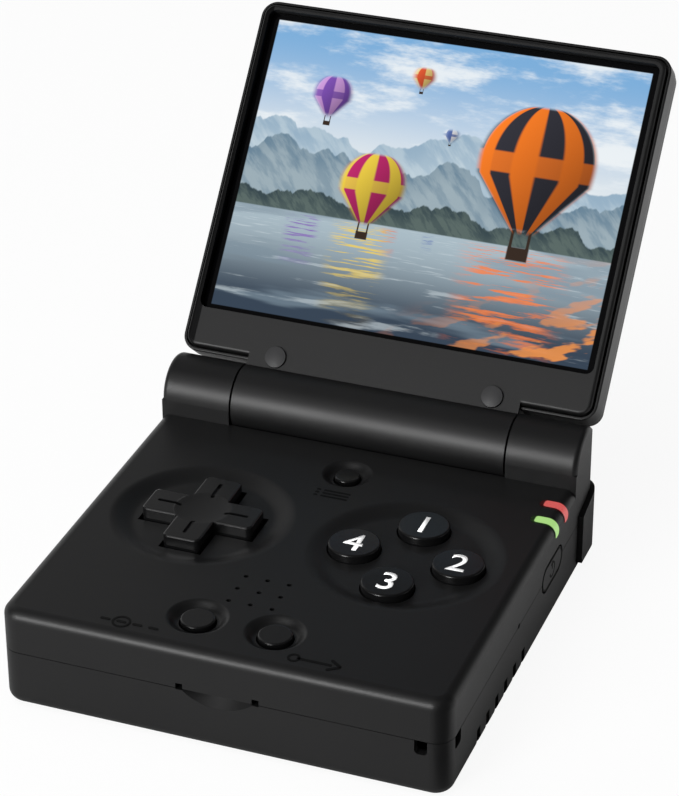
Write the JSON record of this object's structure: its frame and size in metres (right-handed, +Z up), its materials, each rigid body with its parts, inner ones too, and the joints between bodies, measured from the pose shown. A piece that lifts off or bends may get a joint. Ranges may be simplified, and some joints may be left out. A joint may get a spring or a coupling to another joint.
{
  "type": "clamshell handheld game console",
  "caption": "Open clamshell game handheld: black base with direction pad, round buttons and shoulder keys, barrel hinge, and a lid with a recessed screen.",
  "frame": {"origin": "centre of the base's underside, on the surface it stands on", "axes": "+X to the right seen from the front, +Y from the front edge to the hinge, +Z up"},
  "size_m": [0.0848, 0.1339, 0.0833],
  "materials": {
    "shell": "fine moulded texture, matte",
    "bezel": "fine moulded texture, matte",
    "keys": "fine moulded texture, satin on the edges",
    "glass": "clear cover glass with a black printed border",
    "panel": "lit display panel",
    "pads": "soft rubber, matte",
    "membrane": "silicone rubber, satin",
    "foam": "foam, matte",
    "steel": "turned and brushed",
    "screws": "blackened steel",
    "board": "solder mask",
    "sockets": "stamped plate",
    "jack": "moulded, satin",
    "cell": "foil wrap",
    "led_red": "lit light guide, red",
    "led_green": "lit light guide, green",
    "flex": "polyimide film"
  },
  "bodies": {
    "base": {"base_top_shell": "shell", "base_bottom_shell": "shell", "battery_cover": "shell", "battery_pack": "cell", "mainboard": "board", "usb_socket": "sockets", "audio_socket": "jack", "card_socket": "sockets", "sound_driver": "sockets", "led_red_guide": "led_red", "led_green_guide": "led_green", "dpad_membrane": "membrane", "action_membrane": "membrane", "front_membrane": "membrane", "menu_membrane": "membrane", "case_screws": "screws", "cover_screw": "screws", "hinge_cartridge": "steel", "hinge_sleeve": "steel", "shoulder_pins": "steel", "shoulder_boards": "board", "shoulder_switches": "sockets", "side_switches": "sockets"},
    "lid": {"lid_bezel": "bezel", "lid_back_shell": "shell", "screen_glass": "glass", "display_panel": "panel", "panel_foam": "foam", "lid_pads": "pads", "lid_screws": "screws", "lid_magnet": "steel", "hinge_shaft": "steel", "display_cable": "flex"},
    "dpad_rocker": {"dpad_ball": "steel"},
    "dpad": {"dpad_cap": "keys"},
    "action_1": {"action_button_1": "keys"},
    "action_2": {"action_button_2": "keys"},
    "action_3": {"action_button_3": "keys"},
    "action_4": {"action_button_4": "keys"},
    "select": {"select_button": "keys"},
    "start": {"start_button": "keys"},
    "menu": {"menu_button": "keys"},
    "power": {"power_button": "keys"},
    "volume": {"volume_rocker": "keys"},
    "shoulder_outer_right": {"shoulder_outer_right": "keys"},
    "shoulder_inner_right": {"shoulder_inner_right": "keys"},
    "shoulder_outer_left": {"shoulder_outer_left": "keys"},
    "shoulder_inner_left": {"shoulder_inner_left": "keys"}
  },
  "joints": [
    {"name": "lid_hinge", "type": "hinge", "parent": "base", "child": "lid", "pos_m": [0, 0.0361, 0.0227], "axis": [1, 0, 0], "range_deg": [-24.7, 130.3]},
    {"name": "dpad_tilt_front", "type": "hinge", "parent": "base", "child": "dpad_rocker", "pos_m": [-0.0199, -0.0015, 0.01515], "axis": [1, 0, 0], "range_deg": [-4, 4], "stiffness_Nm_per_rad": 0.2, "deforming": ["dpad_membrane"]},
    {"name": "dpad_tilt_side", "type": "hinge", "parent": "dpad_rocker", "child": "dpad", "pos_m": [-0.0199, -0.0015, 0.01515], "axis": [0, 1, 0], "range_deg": [-4, 4], "stiffness_Nm_per_rad": 0.2, "deforming": ["dpad_membrane"]},
    {"name": "action_press_1", "type": "slide", "parent": "base", "child": "action_1", "axis": [0, 0, -1], "range_m": [0, 0.0011], "stiffness_N_per_m": 600, "deforming": ["action_membrane"]},
    {"name": "action_press_2", "type": "slide", "parent": "base", "child": "action_2", "axis": [0, 0, -1], "range_m": [0, 0.0011], "stiffness_N_per_m": 600, "deforming": ["action_membrane"]},
    {"name": "action_press_3", "type": "slide", "parent": "base", "child": "action_3", "axis": [0, 0, -1], "range_m": [0, 0.0011], "stiffness_N_per_m": 600, "deforming": ["action_membrane"]},
    {"name": "action_press_4", "type": "slide", "parent": "base", "child": "action_4", "axis": [0, 0, -1], "range_m": [0, 0.0011], "stiffness_N_per_m": 600, "deforming": ["action_membrane"]},
    {"name": "select_press", "type": "slide", "parent": "base", "child": "select", "axis": [0, 0, -1], "range_m": [0, 0.0007], "stiffness_N_per_m": 600, "deforming": ["front_membrane"]},
    {"name": "start_press", "type": "slide", "parent": "base", "child": "start", "axis": [0, 0, -1], "range_m": [0, 0.0007], "stiffness_N_per_m": 600, "deforming": ["front_membrane"]},
    {"name": "menu_press", "type": "slide", "parent": "base", "child": "menu", "axis": [0, 0, -1], "range_m": [0, 0.0007], "stiffness_N_per_m": 600, "deforming": ["menu_membrane"]},
    {"name": "power_press", "type": "slide", "parent": "base", "child": "power", "axis": [-1, 0, 0], "range_m": [0, 0.00035], "stiffness_N_per_m": 1200},
    {"name": "volume_rock", "type": "hinge", "parent": "base", "child": "volume", "pos_m": [-0.03895, 0.0105, 0.0111], "axis": [0, 0, 1], "range_deg": [-2, 2], "stiffness_Nm_per_rad": 0.15},
    {"name": "shoulder_outer_right_press", "type": "hinge", "parent": "base", "child": "shoulder_outer_right", "pos_m": [0.0299, 0.0379, 0.008], "axis": [0, 0, -1], "range_deg": [0, 3], "stiffness_Nm_per_rad": 0.25},
    {"name": "shoulder_inner_right_press", "type": "hinge", "parent": "base", "child": "shoulder_inner_right", "pos_m": [0.0181, 0.0379, 0.008], "axis": [0, 0, -1], "range_deg": [0, 3], "stiffness_Nm_per_rad": 0.25},
    {"name": "shoulder_outer_left_press", "type": "hinge", "parent": "base", "child": "shoulder_outer_left", "pos_m": [-0.0299, 0.0379, 0.008], "axis": [0, 0, 1], "range_deg": [0, 3], "stiffness_Nm_per_rad": 0.25},
    {"name": "shoulder_inner_left_press", "type": "hinge", "parent": "base", "child": "shoulder_inner_left", "pos_m": [-0.0181, 0.0379, 0.008], "axis": [0, 0, 1], "range_deg": [0, 3], "stiffness_Nm_per_rad": 0.25}
  ]
}
